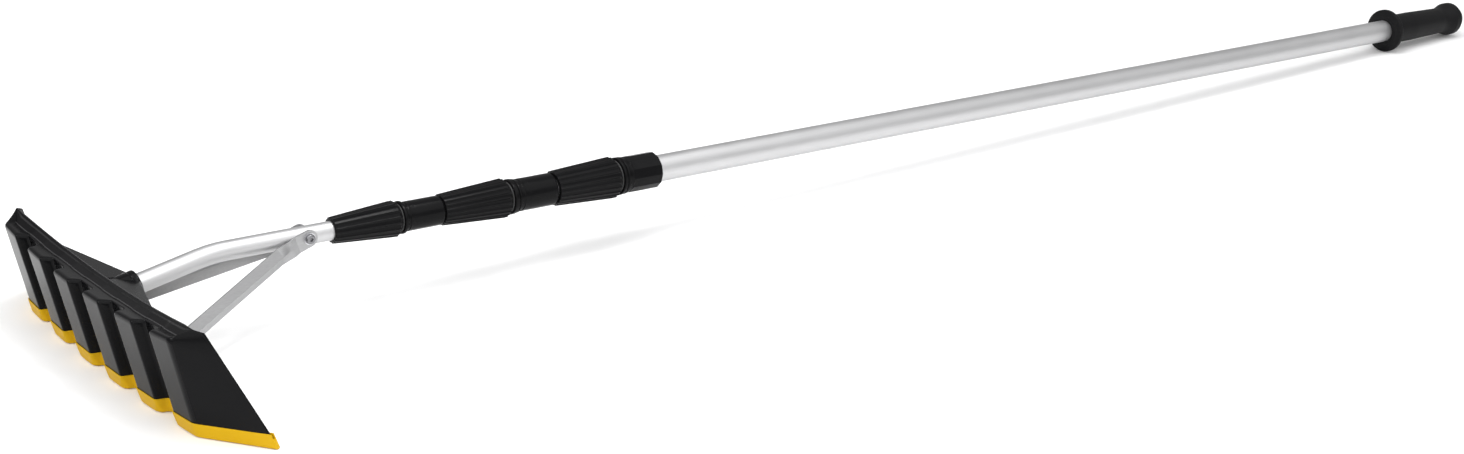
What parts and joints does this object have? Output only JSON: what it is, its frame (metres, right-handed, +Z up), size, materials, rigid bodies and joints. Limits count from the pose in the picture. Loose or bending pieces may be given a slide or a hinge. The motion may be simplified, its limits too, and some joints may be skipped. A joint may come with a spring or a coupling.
{
  "type": "roof snow rake",
  "caption": "Telescopic roof snow rake: ribbed scoop blade with a scraper edge, bent socket tube with two braces, twist-lock pole and a rubber grip.",
  "frame": {"origin": "middle of the bounding box at ground level, with the rake lying on its scraper edge and on the grip's guard and the pole fully collapsed", "axes": "+X towards the grip, along the longest extent; +Y across the blade, with y = 0 its plane of symmetry; +Z up, the shortest extent"},
  "size_m": [2.2459, 0.5574, 0.1176],
  "materials": {
    "blade_plastic": "black moulded polypropylene, satin",
    "scraper_plastic": "yellow moulded plastic",
    "tube_aluminium": "bright drawn aluminium tube",
    "brace_aluminium": "folded aluminium strip, satin",
    "lock_plastic": "black glass-filled nylon",
    "bush_plastic": "pale acetal",
    "seal_rubber": "black nitrile rubber",
    "grip_rubber": "smooth black rubber",
    "fastener_steel": "zinc-plated steel",
    "black_steel": "black oxide steel"
  },
  "bodies": {
    "handle": {"outer_tube": "tube_aluminium", "lock_sleeve_rear": "lock_plastic", "lock_collet_rear": "bush_plastic", "lock_seal_rear": "seal_rubber", "sleeve_pin_rear": "fastener_steel", "tube_end_plug": "lock_plastic", "grip": "grip_rubber"},
    "third_section": {"third_tube": "tube_aluminium", "third_guide_bush": "bush_plastic", "lock_sleeve_middle": "lock_plastic", "lock_collet_middle": "bush_plastic", "lock_seal_middle": "seal_rubber", "sleeve_pin_middle": "fastener_steel"},
    "second_section": {"second_tube": "tube_aluminium", "second_guide_bush": "bush_plastic", "lock_sleeve_front": "lock_plastic", "lock_collet_front": "bush_plastic", "lock_seal_front": "seal_rubber", "sleeve_pin_front": "fastener_steel"},
    "head": {"blade": "blade_plastic", "scraper_strip": "scraper_plastic", "strip_screws": "fastener_steel", "head_tube": "tube_aluminium", "head_guide_bush": "bush_plastic", "socket_screw": "black_steel", "brace_left": "brace_aluminium", "brace_right": "brace_aluminium", "brace_bolt": "black_steel", "brace_nut": "fastener_steel", "brace_washers": "fastener_steel", "brace_foot_screws": "black_steel"},
    "rear_collar": {"lock_collar_rear": "lock_plastic"},
    "middle_collar": {"lock_collar_middle": "lock_plastic"},
    "front_collar": {"lock_collar_front": "lock_plastic"}
  },
  "joints": [
    {"name": "third_slide", "type": "slide", "parent": "handle", "child": "third_section", "axis": [-0.9994, 0, 0.0351], "range_m": [0, 1.3]},
    {"name": "second_slide", "type": "slide", "parent": "third_section", "child": "second_section", "axis": [-0.9994, 0, 0.0351], "range_m": [0, 1.3]},
    {"name": "head_slide", "type": "slide", "parent": "second_section", "child": "head", "axis": [-0.9994, 0, 0.0351], "range_m": [0, 1.3]},
    {"name": "rear_collar_turn", "type": "hinge", "parent": "handle", "child": "rear_collar", "pos_m": [-0.50637, 0, 0.08304], "axis": [0.9994, 0, -0.0351], "range_deg": [0, 120]},
    {"name": "middle_collar_turn", "type": "hinge", "parent": "third_section", "child": "middle_collar", "pos_m": [-0.65628, 0, 0.08831], "axis": [0.9994, 0, -0.0351], "range_deg": [0, 120]},
    {"name": "front_collar_turn", "type": "hinge", "parent": "second_section", "child": "front_collar", "pos_m": [-0.79619, 0, 0.09322], "axis": [0.9994, 0, -0.0351], "range_deg": [0, 120]}
  ]
}
